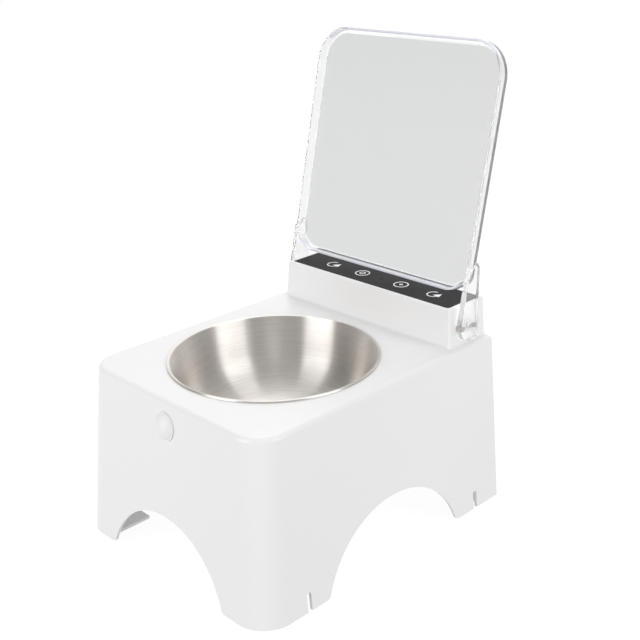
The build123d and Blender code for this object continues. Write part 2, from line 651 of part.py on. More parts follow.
def pan_screw(length, shank_r, head_r, head_t):
    """A pan-head screw standing on the origin, shank downwards, with a cross recess."""
    screw = Pos(0, 0, -length / 2) * Cylinder(shank_r, length)
    head = Pos(0, 0, head_t / 2) * Cylinder(head_r, head_t)
    head = fillet(head.edges().sort_by(Axis.Z)[-1:], head_t * 0.45)
    slot = head_r * 0.3
    cross = Box(head_r * 1.2, slot, head_t) + Box(slot, head_r * 1.2, head_t)
    return screw + head - Pos(0, 0, head_t * 1.05) * cross


def screws_along_x(points, x, length, shank_r, head_r, toward):
    """Equal screws at (y, z) points, heads at x, shanks running toward -1 or +1 along X."""
    screw = pan_screw(length, shank_r, head_r, 1.3)
    return [Pos(x, y, z) * Rot(0, -90 * toward, 0) * screw for y, z in points]


def make_gearbox_screws():
    """The screws that fix the gear tray to the housing."""
    return screws_along_x(GEARBOX_MOUNTS, GEARBOX_X[0] + GEARBOX_PLATE, 5.0, 1.0, 2.2, -1)


def make_gearbox_cover_screws():
    """The screws that hold the gear tray's cover."""
    return screws_along_x(GEARBOX_CORNERS, GEARBOX_X[1], 8.0, 0.9, 2.0, -1)


def make_motor_head():
    """The motor's own reduction gearhead, bolted to the cover."""
    x0 = GEARBOX_X[1]
    head = box(x0, x0 + GEARHEAD_LENGTH, HINGE_Y - MOTOR_R, HINGE_Y + MOTOR_R, PINION_Z - 5, PINION_Z + 5)
    head = fillet(head.edges().filter_by(Axis.X), 0.8)
    return head - rod_x(HINGE_Y, PINION_Z, x0 - 1, x0 + 3, AXLE_R + RUNNING_GAP)


def make_motor_can():
    """The small direct-current motor: a can with two flats and a rear boss."""
    x0 = GEARBOX_X[1] + GEARHEAD_LENGTH
    x1 = x0 + MOTOR_LENGTH
    can = rod_x(HINGE_Y, PINION_Z, x0, x1, MOTOR_R)
    can = can & box(x0, x1, HINGE_Y - MOTOR_R - 1, HINGE_Y + MOTOR_R + 1, PINION_Z - 5, PINION_Z + 5)
    return can + rod_x(HINGE_Y, PINION_Z, x1 - 0.1, x1 + 1.0, 2.5)


# ---------------------------------------------------------------- electronics
def make_touch_panel():
    """The dark glossy touch panel, with a round window for the indicator."""
    plan = outline(PANEL_HALF, PANEL_Y[0], PANEL_Y[1], PANEL_CORNER_R - PANEL_GAP, 0.5)
    panel = extrude(Pos(0, 0, HUMP_TOP_Z - PANEL_T - PANEL_DROP) * plan, PANEL_T)
    return panel - rod_z(*INDICATOR_XY, HUMP_TOP_Z - 3, HUMP_TOP_Z + 1, INDICATOR_R)


def make_touch_icons():
    """The printed marks on the touch panel: two turning arrows outside, two ringed keys inside."""
    x0, y0 = INDICATOR_XY
    arrow = Circle(ICON_ARROW_R) - Circle(ICON_ARROW_R - ICON_LINE)
    arrow -= make_face(Polyline((0, 0), (0, 9), (9, 9), (9, 0.6), close=True))
    arrow += make_face(Polyline((0.4, -1.4), (5.4, 3.9), (7.2, -2.4), close=True))
    ring = Circle(ICON_KEY_R) - Circle(ICON_KEY_R - ICON_LINE)
    target = ring + Circle(2.7) - Circle(1.8)
    plus = ring + Rectangle(3.6, ICON_LINE) + Rectangle(ICON_LINE, 3.6)
    marks = []
    for x, face in (
        (-ICON_ARROW_X, arrow),
        (-ICON_KEY_X, target),
        (ICON_KEY_X, plus),
        (ICON_ARROW_X, arrow),
    ):
        marks.extend(extrude(Pos(x0 + x, y0, HUMP_TOP_Z - PANEL_DROP) * face, ICON_T).solids())
    return marks


def make_indicator_lens():
    """The tinted window in the middle of the touch panel."""
    z = HUMP_TOP_Z - PANEL_DROP
    return rod_z(*INDICATOR_XY, z - PANEL_T, z - 0.1, INDICATOR_R - 0.05)


def make_touch_board():
    """The circuit board under the touch panel, with a hole under the indicator."""
    x, y = INDICATOR_XY
    board = box(-TOUCH_BOARD_HALF, TOUCH_BOARD_HALF, PANEL_Y[0] + 4.0, PANEL_Y[1] - 4.0, *TOUCH_BOARD_Z)
    return board - box(x - 1.6, x + 1.6, y - 1.6, y + 1.6, TOUCH_BOARD_Z[0] - 1, HUMP_TOP_Z)


def make_status_led():
    """The indicator light, under its window in the touch board."""
    x, y = INDICATOR_XY
    z = TOUCH_BOARD_Z[0]
    return box(x - 1.4, x + 1.4, y - 1.4, y + 1.4, z, z + 1.2)


def make_sensor_lens():
    """The milky domed lens of the motion sensor, with its barrel through the front wall."""
    cap_r = (SENSOR_DOME_R**2 + SENSOR_DOME_H**2) / (2 * SENSOR_DOME_H)
    wall = 1.3
    outer = Pos(0, 0, SENSOR_DOME_H - cap_r) * Sphere(cap_r)
    inner = Pos(0, 0, SENSOR_DOME_H - cap_r) * Sphere(cap_r - wall)
    dome = (outer - inner) & Pos(0, 0, SENSOR_DOME_H / 2 + 0.4) * Cylinder(SENSOR_DOME_R + 1, SENSOR_DOME_H)
    ring = Pos(0, 0, 0.7) * Cylinder(SENSOR_DOME_R - 0.2, 1.2)
    barrel = Pos(0, 0, -3.0) * Cylinder(SENSOR_BARREL_R - 0.1, 7.4)
    tube = ring + barrel - Pos(0, 0, -3.0) * Cylinder(SENSOR_BARREL_R - 1.5, 12)
    return sensor_plane() * (dome + tube)


def make_sensor_can():
    """The motion sensor's metal can with its square window, on the sensor board."""
    can = Pos(0, 0, -4.0) * Cylinder(4.6, 4.0)
    can += Pos(0, 0, -5.8) * Cylinder(5.1, 0.5)
    can -= Pos(0, 0, -2.0) * Box(4.0, 3.0, 0.6)
    return sensor_plane() * can


def make_sensor_board():
    """The small board behind the motion sensor."""
    board = Pos(0, 0, -7.7) * Box(26, 20, 1.4)
    return sensor_plane() * board


def make_main_board():
    """The control board on its four posts."""
    board = box(*BOARD_X, *BOARD_Y, BOARD_Z, BOARD_Z + BOARD_T)
    for x, y in BOARD_POSTS:
        board -= rod_z(x, y, BOARD_Z - 1, BOARD_Z + BOARD_T + 1, 1.3)
    return board


def make_board_screws():
    """The screws that hold the control board."""
    screw = pan_screw(7.0, 1.0, 2.2, 1.3)
    return [Pos(x, y, BOARD_Z + BOARD_T) * screw for x, y in BOARD_POSTS]


def make_board_chips():
    """The controller, the motor driver and two small capacitors on the control board."""
    z = BOARD_Z + BOARD_T
    x, y = BOARD_X[0] + 22, BOARD_Y[0] + 14
    chips = [box(x - 5, x + 5, y - 5, y + 5, z, z + 1.6)]
    chips.append(box(x + 10, x + 15, y - 4, y + 4, z, z + 1.6))
    for dx in (-14, -8):
        chips.append(rod_z(x + dx + 1, y + 12, z, z + 6, 2.5))
    return chips


def make_buzzer():
    """The round sounder on the control board."""
    x, y, z = BOARD_X[1] - 17, BOARD_Y[0] + 28, BOARD_Z + BOARD_T
    return rod_z(x, y, z, z + 5, 6.0) - rod_z(x, y, z + 3, z + 6, 1.0)


def make_charging_socket():
    """The metal charging socket at the board's rear edge, facing backwards."""
    z = BOARD_Z + BOARD_T
    y1 = REAR_Y - 1.6
    shell = box(SOCKET_X - 4.5, SOCKET_X + 4.5, y1 - 7.5, y1, z, z + 3.2)
    shell = fillet(shell.edges().filter_by(Axis.Y), 1.2)
    hole = box(SOCKET_X - 4.1, SOCKET_X + 4.1, y1 - 6.5, y1 + 1, z + 0.4, z + 2.8)
    tongue = box(SOCKET_X - 3.2, SOCKET_X + 3.2, y1 - 7, y1 - 1.2, z + 1.3, z + 1.9)
    return shell - hole + tongue


def make_port_cover():
    """The soft flap over the charging socket, with a plug on its back and a pull lip."""
    y = REAR_Y - 1.1
    flap = box(PORT_HINGE_X, SOCKET_X + 7.5, y, y + 1.5, PORT_Z - 4.5, PORT_Z + 4.5)
    flap = fillet(flap.edges().filter_by(Axis.Y).sort_by(Axis.X)[-2:], 2.0)
    flap += box(SOCKET_X + 6.5, SOCKET_X + 8.6, y, y + 1.5, PORT_Z - 2, PORT_Z + 2)
    return flap + rod_z(PORT_HINGE_X, y + 0.75, PORT_Z - 4.5, PORT_Z + 4.5, 0.75)


def make_switch_body():
    """The power switch's metal body on the control board."""
    z = BOARD_Z + BOARD_T
    y1 = REAR_Y - WALL - 0.4
    body = box(SWITCH_X - 6, SWITCH_X + 6, y1 - 5, y1, z, z + 3.6)
    return body - box(SWITCH_X - 4.2, SWITCH_X + 4.2, y1 - 1.5, y1 + 1, z + 0.9, z + 2.5)


def make_switch_knob():
    """The sliding knob of the power switch, at its off end."""
    x = SWITCH_X - SWITCH_TRAVEL / 2
    z = PORT_Z
    y1 = REAR_Y - WALL - 0.4
    knob = box(x - 1.5, x + 1.5, y1 - 1.2, REAR_Y + 0.2, z - 0.7, z + 0.7)
    return knob + box(x - 2.0, x + 2.0, REAR_Y - 1.0, REAR_Y + 0.4, z - 1.3, z + 1.3)


def make_battery_cells():
    """Four dry cells side by side, alternate ways round."""
    cells = []
    middle_y = (BATTERY_Y[0] + BATTERY_Y[1]) / 2
    for i in range(4):
        x = (i - 1.5) * CELL_PITCH
        way = 1 if i % 2 else -1
        y0, y1 = middle_y - CELL_LENGTH / 2, middle_y + CELL_LENGTH / 2
        nub = y1 if way > 0 else y0
        cell = rod_y(x, CELL_Z, y0 + (1.0 if way < 0 else 0), y1 - (1.0 if way > 0 else 0), CELL_R)
        cells.append(cell + rod_y(x, CELL_Z, min(nub, nub - way), max(nub, nub - way), 2.7))
    return cells


def make_battery_contacts():
    """The plated contact strips at both ends of the battery box."""
    strips = []
    y0, y1 = BATTERY_Y
    for i in range(4):
        x = (i - 1.5) * CELL_PITCH
        for low in (y0 + 0.1, y1 - 0.7):
            strips.append(box(x - 5.5, x + 5.5, low, low + 0.6, CELL_Z - 5.5, CELL_Z + 5))
    return strips


def make_cover_screws():
    """The screws that hold the bottom cover, heads downwards."""
    screw = pan_screw(13.0, SCREW_HOLE_R, 2.9, 1.2)
    return [Pos(x, y, COVER_Z + 1.3) * Rot(180, 0, 0) * screw for x, y in COVER_SCREW_XY]


def make_hall_board():
    """The small board with the hall sensor that reads the magnet in the right arm."""
    board = box(84.4, 85.6, HINGE_Y - 14, HINGE_Y - 6.6, 148, 164)
    return board + box(85.5, 86.5, HINGE_Y - 13, HINGE_Y - 9, 154, 157)


# ---------------------------------------------------------------- write the parts
NODES = {
    "body_shell": make_body_shell(),
    "bottom_cover": make_bottom_cover(),
    "battery_door": make_battery_door(),
    "bowl_well": make_bowl_well(),
    "food_bowl": make_food_bowl(),
    "lid_cover": make_lid_cover(),
    "hinge_pin": make_hinge_pin(),
    "arm_screws": make_arm_screws(),
    "arm_magnet": make_arm_magnet(),
    "left_bush": make_bush(-1),
    "right_bush": make_bush(1),
    "drive_shaft": make_drive_shaft(),
    "output_gear": make_output_gear(),
    "idler_gear": make_idler_gear(),
    "idler_axle": rod_x(HINGE_Y, IDLER_Z, GEARBOX_X[0] + 0.6, GEARBOX_X[1] - 0.6, AXLE_R),
    "drive_pinion": make_drive_pinion(),
    "motor_shaft": rod_x(HINGE_Y, PINION_Z, PINION_X[0], GEARBOX_X[1] + 2.8, AXLE_R),
    "gearbox_case": make_gearbox_case(),
    "gearbox_cover": make_gearbox_cover(),
    "gearbox_screws": make_gearbox_screws(),
    "gearbox_cover_screws": make_gearbox_cover_screws(),
    "motor_gearhead": make_motor_head(),
    "motor": make_motor_can(),
    "touch_panel": make_touch_panel(),
    "touch_icons": make_touch_icons(),
    "touch_board": make_touch_board(),
    "indicator_lens": make_indicator_lens(),
    "status_led": make_status_led(),
    "sensor_lens": make_sensor_lens(),
    "motion_sensor": make_sensor_can(),
    "sensor_board": make_sensor_board(),
    "main_board": make_main_board(),
    "board_screws": make_board_screws(),
    "board_chips": make_board_chips(),
    "buzzer": make_buzzer(),
    "charging_socket": make_charging_socket(),
    "port_cover": make_port_cover(),
    "switch_body": make_switch_body(),
    "switch_knob": make_switch_knob(),
    "battery_cells": make_battery_cells(),
    "battery_contacts": make_battery_contacts(),
    "hall_board": make_hall_board(),
    "cover_screws": make_cover_screws(),
    "foot_pads": make_foot_pads(),
}

os.makedirs("parts", exist_ok=True)
for name, shape in NODES.items():
    export_step(Compound(children=shape) if isinstance(shape, list) else shape, f"parts/{name}.step")
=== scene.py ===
import json
import math

import bmesh
import bpy
from mathutils import Matrix, Vector


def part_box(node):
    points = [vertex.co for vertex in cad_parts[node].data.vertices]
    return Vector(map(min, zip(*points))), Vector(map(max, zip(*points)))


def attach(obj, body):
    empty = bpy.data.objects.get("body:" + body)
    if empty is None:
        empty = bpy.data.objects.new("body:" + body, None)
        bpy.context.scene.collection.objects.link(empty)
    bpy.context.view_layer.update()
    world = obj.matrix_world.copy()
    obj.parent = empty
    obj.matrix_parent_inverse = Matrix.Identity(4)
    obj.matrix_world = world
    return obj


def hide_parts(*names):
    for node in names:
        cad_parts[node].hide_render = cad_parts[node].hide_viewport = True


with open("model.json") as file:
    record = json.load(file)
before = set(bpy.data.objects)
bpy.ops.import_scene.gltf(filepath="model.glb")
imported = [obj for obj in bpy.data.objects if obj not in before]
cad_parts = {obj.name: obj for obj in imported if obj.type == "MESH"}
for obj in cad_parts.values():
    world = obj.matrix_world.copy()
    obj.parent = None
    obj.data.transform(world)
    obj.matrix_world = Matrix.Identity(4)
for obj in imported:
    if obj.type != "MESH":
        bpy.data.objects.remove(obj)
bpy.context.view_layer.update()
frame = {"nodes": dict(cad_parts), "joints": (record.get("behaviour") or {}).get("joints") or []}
nodes = frame["nodes"]
joints = {joint["name"]: joint for joint in frame["joints"]}

MM = 0.001


# ---------------------------------------------------------------- places taken from the frame
hinge = Vector(joints["lid_hinge"]["pos_m"])
closing_angle = -joints["lid_hinge"]["range_deg"][0]
lid_lean = math.radians(closing_angle - 90)
# The lid's own space: x across it, y out of its back, z along it from the hinge.
lid_space = Matrix.Translation(hinge) @ Matrix.Rotation(-lid_lean, 4, "X")

bowl_low, bowl_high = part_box("food_bowl")
bowl_centre = (bowl_low + bowl_high) / 2


# ---------------------------------------------------------------- material building
class Finish:
    """One procedural material: a Principled shader with the nodes that feed it."""

    def __init__(self, name, colour, roughness, **settings):
        self.material = bpy.data.materials.new(name)
        self.material.use_nodes = True
        self.tree = self.material.node_tree
        self.tree.nodes.clear()
        self.output = self.node("ShaderNodeOutputMaterial")
        self.shader = self.node("ShaderNodeBsdfPrincipled")
        self.tree.links.new(self.shader.outputs["BSDF"], self.output.inputs["Surface"])
        self.shader.inputs["Base Color"].default_value = (*colour, 1)
        self.shader.inputs["Roughness"].default_value = roughness
        for key, value in settings.items():
            self.shader.inputs[key.replace("_", " ")].default_value = value
        self.place = self.node("ShaderNodeTexCoord").outputs["Object"]
        self.height = None

    def node(self, kind, **values):
        """A node with its properties or inputs set by name."""
        made = self.tree.nodes.new(kind)
        for key, value in values.items():
            if hasattr(made, key):
                setattr(made, key, value)
            else:
                self.put(value, made.inputs[key.replace("_", " ")])
        return made

    def put(self, value, socket):
        """Links an output to a socket, or sets the socket's value."""
        if isinstance(value, bpy.types.NodeSocket):
            self.tree.links.new(value, socket)
        else:
            socket.default_value = value

    def math(self, operation, a, b=0.0):
        """One step of arithmetic on sockets or numbers."""
        made = self.node("ShaderNodeMath", operation=operation)
        self.put(a, made.inputs[0])
        self.put(b, made.inputs[1])
        return made.outputs[0]

    def about(self, centre):
        """The object's own coordinates, measured from a centre."""
        moved = self.node("ShaderNodeVectorMath", operation="SUBTRACT")
        self.put(self.place, moved.inputs[0])
        moved.inputs[1].default_value = centre
        return moved.outputs[0]

    def stretched(self, scale, centre=(0, 0, 0)):
        """The object's own coordinates about a centre, scaled along each axis."""
        moved = self.about(centre)
        scaled = self.node("ShaderNodeVectorMath", operation="MULTIPLY")
        self.put(moved, scaled.inputs[0])
        scaled.inputs[1].default_value = scale
        return scaled.outputs[0]

    def turned(self, centre, across, along, around, axis="Z"):
        """Coordinates that run with the lines a lathe leaves round an axis."""
        moved = self.about(centre)
        split = self.node("ShaderNodeSeparateXYZ")
        self.put(moved, split.inputs[0])
        order = {"X": "YZX", "Y": "XZY", "Z": "XYZ"}[axis]
        u, v, w = (split.outputs[name] for name in order)
        radius = self.math("SQRT", self.math("ADD", self.math("MULTIPLY", u, u), self.math("MULTIPLY", v, v)))
        angle = self.math("ARCTAN2", v, u)
        joined = self.node("ShaderNodeCombineXYZ")
        self.put(self.math("MULTIPLY", radius, across), joined.inputs[0])
        self.put(self.math("MULTIPLY", w, along), joined.inputs[1])
        self.put(self.math("MULTIPLY", angle, around), joined.inputs[2])
        return joined.outputs[0]

    def noise(self, scale, detail, vector=None, rough=0.5):
        """A soft random pattern, in the object's own coordinates unless told otherwise."""
        made = self.node("ShaderNodeTexNoise", Scale=scale, Detail=detail, Roughness=rough)
        self.put(vector or self.place, made.inputs["Vector"])
        return made.outputs["Fac"]

    def span(self, value, low, high, start=0.3, end=0.7):
        """Maps a 0..1 pattern onto a range."""
        made = self.node("ShaderNodeMapRange", From_Min=start, From_Max=end, To_Min=low, To_Max=high)
        self.put(value, made.inputs["Value"])
        return made.outputs["Result"]

    def colour(self, value):
        """Feeds the base colour."""
        self.put(value, self.shader.inputs["Base Color"])
        return self

    def roughness(self, value):
        """Feeds the roughness."""
        self.put(value, self.shader.inputs["Roughness"])
        return self

    def bump(self, height, depth):
        """Adds relief of a given depth in metres on top of any relief already there."""
        made = self.node("ShaderNodeBump", Strength=1.0, Distance=depth)
        self.put(height, made.inputs["Height"])
        if self.height:
            self.put(self.height, made.inputs["Normal"])
        self.height = made.outputs["Normal"]
        self.put(self.height, self.shader.inputs["Normal"])
        return self


def mix_rgb(finish, factor, first, second):
    """A colour mix node that works on its RGBA sockets."""
    made = finish.tree.nodes.new("ShaderNodeMix")
    made.data_type = "RGBA"
    finish.put(factor, made.inputs[0])
    for value, socket in ((first, made.inputs[6]), (second, made.inputs[7])):
        finish.put(value if isinstance(value, bpy.types.NodeSocket) else (*value, 1), socket)
    return made.outputs[2]


def drift(finish, pattern, first, second):
    """A colour that drifts between two tones with a pattern."""
    return mix_rgb(finish, finish.span(pattern, 0.0, 1.0), first, second)


def grey(level):
    """A neutral colour."""
    return (level, level, level)


# ---------------------------------------------------------------- materials
def moulded_plastic(name, light, dark, roughness, grain, **settings):
    """Moulded plastic: a faint cloudiness, patches of more and less gloss, and a fine skin."""
    made = Finish(name, light, roughness, **settings)
    cloud = made.noise(18.0, 2.0)
    made.colour(drift(made, cloud, light, dark))
    patches = made.noise(45.0, 4.0, rough=0.6)
    made.roughness(made.span(patches, roughness - 0.04, roughness + 0.05))
    made.bump(made.noise(1500.0, 2.0), grain)
    return made


def shell_plastic():
    """Semi-gloss white plastic with a very slow drift of tone and gloss."""
    made = Finish("shell_plastic", (0.885, 0.88, 0.88), 0.3)
    made.colour(drift(made, made.noise(7.0, 0.0), (0.888, 0.883, 0.883), (0.876, 0.871, 0.871)))
    made.roughness(made.span(made.noise(11.0, 0.0), 0.285, 0.315))
    return made


def brushed_bowl():
    """Spun steel with a painted highlight: the flat floor takes a brighter colour than the wall, for the
    light that falls on it. Its fine lines run round the bowl, so that reflections smear up and down the wall,
    most of which takes a second, broader lobe."""
    centre = (bowl_centre.x, bowl_centre.y, 0)
    floor_end, wall_start = 41 * MM, 49 * MM
    made = Finish(
        "bowl_brushed_steel", (0.87, 0.82, 0.76), 0.3,
        Metallic=1.0, Anisotropic=1.0, Anisotropic_Rotation=0.25,
    )
    fine = made.noise(1.0, 4.0, made.turned(centre, 5200.0, 5200.0, 2.2), rough=0.75)
    broad = made.noise(1.0, 2.0, made.turned(centre, 900.0, 900.0, 0.8))
    lines = made.math("ADD", made.math("MULTIPLY", fine, 0.6), made.math("MULTIPLY", broad, 0.4))
    radius = made.node("ShaderNodeVectorMath", operation="LENGTH")
    made.put(made.stretched((1.0, 1.0, 0.0), centre), radius.inputs[0])
    wall = made.span(radius.outputs["Value"], 0.0, 1.0, floor_end, wall_start)
    # Painted highlight: the floor's tone is brighter than the wall's, standing in for the light that falls on
    # the floor.
    wall_tone = drift(made, lines, (0.83, 0.795, 0.755), (0.96, 0.93, 0.89))
    bright = drift(made, lines, (0.95, 0.92, 0.885), (1.0, 0.975, 0.945))
    tint = mix_rgb(made, wall, bright, wall_tone)
    made.colour(tint)
    made.roughness(made.span(fine, 0.24, 0.36))
    made.bump(lines, 8e-6)
    around = made.node("ShaderNodeTangent", direction_type="RADIAL", axis="Z").outputs["Tangent"]
    made.put(around, made.shader.inputs["Tangent"])
    smear = made.node("ShaderNodeBsdfAnisotropic", distribution="MULTI_GGX", Anisotropy=0.78)
    made.put(tint, smear.inputs["Color"])
    made.put(made.span(fine, 0.36, 0.43), smear.inputs["Roughness"])
    made.put(made.height, smear.inputs["Normal"])
    made.put(around, smear.inputs["Tangent"])
    both = made.node("ShaderNodeMixShader")
    made.put(made.span(wall, 0.2, 0.75, 0.0, 1.0), both.inputs[0])
    made.put(made.shader.outputs["BSDF"], both.inputs[1])
    made.put(smear.outputs["BSDF"], both.inputs[2])
    made.put(both.outputs[0], made.output.inputs["Surface"])
    return made


def clear_plastic(name, colour, roughness, clear=1.0, bend=1.49):
    """Clear acrylic with the faint ripple of a moulded sheet."""
    made = Finish(name, colour, roughness, Transmission_Weight=clear, IOR=bend)
    made.roughness(made.span(made.noise(60.0, 3.0), roughness, roughness + 0.03))
    made.bump(made.noise(14.0, 1.0), 1e-5)
    return made


def gloss_panel():
    """Dark glossy panel with a faint sparkle of dust under the light."""
    made = Finish("panel_gloss", (0.03, 0.03, 0.031), 0.2, Specular_IOR_Level=0.008)
    made.colour(drift(made, made.noise(30.0, 3.0), (0.036, 0.036, 0.037), (0.046, 0.046, 0.047)))
    made.roughness(made.span(made.noise(220.0, 4.0), 0.1, 0.2))
    made.bump(made.noise(900.0, 2.0), 1e-6)
    return made


def milky_lens():
    """Satin milky plastic, a shade cooler than the housing."""
    made = Finish("lens_milky", (0.87, 0.87, 0.875), 0.42)
    made.colour(drift(made, made.noise(40.0, 0.0), (0.86, 0.86, 0.868), (0.885, 0.885, 0.89)))
    made.roughness(made.span(made.noise(60.0, 0.0), 0.4, 0.46))
    return made


def machined_metal(name, colour, centre, axis, roughness=0.3):
    """Metal turned on a lathe, with fine lines round its axis."""
    fineness = 3000.0
    made = Finish(name, colour, roughness, Metallic=1.0)
    marks = made.noise(1.0, 3.0, made.turned(centre, fineness, fineness, 1.5, axis), rough=0.7)
    darker = tuple(0.86 * c for c in colour)
    made.colour(drift(made, marks, darker, colour))
    made.roughness(made.span(marks, roughness - 0.07, roughness + 0.09))
    made.bump(marks, 6e-6)
    return made


def circuit_board():
    """Green board: darker mask over a grid of tracks, with tinned pads."""
    made = Finish("board_mask", (0.03, 0.2, 0.09), 0.35)
    tracks = made.node("ShaderNodeTexBrick", Scale=170.0, Mortar_Size=0.09, Row_Height=0.35, Brick_Width=0.9)
    made.put(made.place, tracks.inputs["Vector"])
    pads = made.node("ShaderNodeTexVoronoi", Scale=300.0, feature="F1")
    made.put(made.place, pads.inputs["Vector"])
    spots = made.math("LESS_THAN", pads.outputs["Distance"], 0.16)
    masked = mix_rgb(made, tracks.outputs["Fac"], (0.02, 0.17, 0.075), (0.045, 0.27, 0.12))
    made.colour(mix_rgb(made, spots, masked, (0.62, 0.6, 0.56)))
    made.put(made.math("MULTIPLY", spots, 0.9), made.shader.inputs["Metallic"])
    made.bump(tracks.outputs["Fac"], 2e-5)
    return made


def rubber(name, light, dark):
    """Matt silicone with a fine grain."""
    made = Finish(name, light, 0.65)
    made.colour(drift(made, made.noise(80.0, 4.0), dark, light))
    made.bump(made.noise(2600.0, 3.0), 1.5e-5)
    return made


def cell_sleeve():
    """A plain dark sleeve with a warm band at one end of each cell."""
    low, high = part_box("battery_cells")
    made = Finish("cell_sleeve", (0.05, 0.13, 0.12), 0.25)
    split = made.node("ShaderNodeSeparateXYZ")
    made.put(made.place, split.inputs[0])
    band = made.math("GREATER_THAN", split.outputs["Y"], high.y - 0.26 * (high.y - low.y))
    weave = made.noise(1.0, 3.0, made.stretched((2500.0, 150.0, 2500.0)))
    body = drift(made, weave, (0.035, 0.1, 0.095), (0.06, 0.16, 0.145))
    made.colour(mix_rgb(made, band, body, (0.55, 0.33, 0.14)))
    made.put(made.math("MULTIPLY", band, 0.85), made.shader.inputs["Metallic"])
    made.bump(weave, 5e-6)
    return made


def assign(finish, *names):
    """Gives a CAD node's object a finished material."""
    for name in names:
        mesh = nodes[name].data
        mesh.materials.clear()
        mesh.materials.append(finish.material)


assign(shell_plastic(), "body_shell", "battery_door", "bottom_cover")
inner_plastic = moulded_plastic("inner_plastic", grey(0.86), grey(0.82), 0.5, 8e-6)
assign(inner_plastic, "bowl_well", "left_bush", "right_bush")
bowl_steel = brushed_bowl()
assign(bowl_steel, "food_bowl")
assign(gloss_panel(), "touch_panel")
assign(moulded_plastic("icon_print", grey(0.9), grey(0.84), 0.45, 4e-6), "touch_icons")
indicator_tint = moulded_plastic(
    "indicator_tint", grey(0.002), grey(0.004), 0.35, 1e-6,
    Specular_IOR_Level=0.02,
)
assign(indicator_tint, "indicator_lens")
assign(milky_lens(), "sensor_lens")

hinge_at = tuple(hinge)
pinion_at = tuple(joints["pinion_spin"]["pos_m"])
origin = (0, 0, 0)
pin_steel = machined_metal("pin_steel", (0.60, 0.58, 0.55), hinge_at, "X")
assign(pin_steel, "hinge_pin", "drive_shaft", "motor_shaft", "idler_axle")
assign(machined_metal("nickel_plate", (0.56, 0.54, 0.51), hinge_at, "Y", 0.22), "arm_magnet")
zinc_plate = machined_metal("zinc_plate", grey(0.6), origin, "Z", 0.28)
assign(zinc_plate, "cover_screws", "gearbox_screws", "gearbox_cover_screws", "board_screws")
assign(machined_metal("set_screw_steel", (0.66, 0.64, 0.61), hinge_at, "Y", 0.24), "arm_screws")
motor_can_steel = machined_metal("motor_can_steel", grey(0.62), hinge_at, "X", 0.26)
assign(motor_can_steel, "motor", "motor_gearhead", "motion_sensor")
tinned_steel = machined_metal("tinned_steel", grey(0.72), origin, "Y", 0.2)
assign(tinned_steel, "charging_socket", "switch_body", "battery_contacts")
assign(machined_metal("turned_brass", (0.80, 0.58, 0.25), pinion_at, "X", 0.25), "drive_pinion")

gear_nylon = moulded_plastic(
    "gear_nylon", (0.80, 0.77, 0.68), (0.76, 0.73, 0.63), 0.4, 6e-6,
    Subsurface_Weight=0.2, Subsurface_Scale=0.002,
)
assign(gear_nylon, "output_gear", "idler_gear")
gearbox_nylon = moulded_plastic("gearbox_nylon", (0.075, 0.078, 0.082), (0.055, 0.057, 0.06), 0.45, 1e-5)
assign(gearbox_nylon, "gearbox_case", "gearbox_cover")
assign(circuit_board(), "touch_board", "sensor_board", "main_board", "hall_board")
chip_epoxy = moulded_plastic("chip_epoxy", (0.025, 0.025, 0.026), (0.018, 0.018, 0.019), 0.5, 8e-6)
assign(chip_epoxy, "board_chips", "buzzer")
assign(clear_plastic("led_epoxy", (0.85, 0.95, 0.87), 0.08), "status_led")
assign(moulded_plastic("switch_black", grey(0.03), grey(0.022), 0.4, 6e-6), "switch_knob")
assign(rubber("flap_silicone", grey(0.82), grey(0.78)), "port_cover")
assign(rubber("pad_silicone", (0.12, 0.12, 0.125), (0.08, 0.08, 0.085)), "foot_pads")
assign(cell_sleeve(), "battery_cells")

# A low index keeps the lid's reflections as faint as those of a coated sheet.
lid_clear = clear_plastic("lid_clear", (0.90, 0.905, 0.91), 0.005, 0.88, 1.3)
# Painted shade: the rim's lips take a cloudier lavender tint in place of the darker light refracted and
# caught along the rim.
lid_rim_painted_shade = clear_plastic("lid_rim_painted_shade", (0.83, 0.84, 0.92), 0.12, 0.4, 1.3)
lid_field = clear_plastic("lid_field", (0.565, 0.568, 0.568), 0.03, 1.0, 1.3)
assign(lid_clear, "lid_cover")


# ---------------------------------------------------------------- mesh building
def mesh_object(name, mesh_maker, finishes):
    """An object from a function that fills a bmesh, with its faces turned outwards."""
    bm = bmesh.new()
    mesh_maker(bm)
    bmesh.ops.recalc_face_normals(bm, faces=bm.faces)
    mesh = bpy.data.meshes.new(name)
    bm.to_mesh(mesh)
    bm.free()
    for finish in finishes:
        mesh.materials.append(finish.material)
    made = bpy.data.objects.new(name, mesh)
    bpy.context.scene.collection.objects.link(made)
    return made


def new_piece(name, mesh_maker, finishes, body, replaced):
    """A finished piece that moves with a body and stands for some CAD nodes."""
    piece = mesh_object(name, mesh_maker, finishes)
    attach(piece, body)
    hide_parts(*replaced)
    return piece


def round_off(piece, angle=32.0):
    """Smooth shading that keeps real corners, with flat faces kept flat."""
    mesh = piece.data
    for face in mesh.polygons:
        face.use_smooth = True
    mesh.set_sharp_from_angle(angle=math.radians(angle))
    weighted = piece.modifiers.new("weighted", "WEIGHTED_NORMAL")
    weighted.keep_sharp = True


def arc(centre, radius, start, end, steps):
    """Points on an arc, angles in degrees."""
    points = []
    for i in range(steps + 1):
        angle = math.radians(start + (end - start) * i / steps)
        points.append((centre[0] + radius * math.cos(angle), centre[1] + radius * math.sin(angle)))
    return points


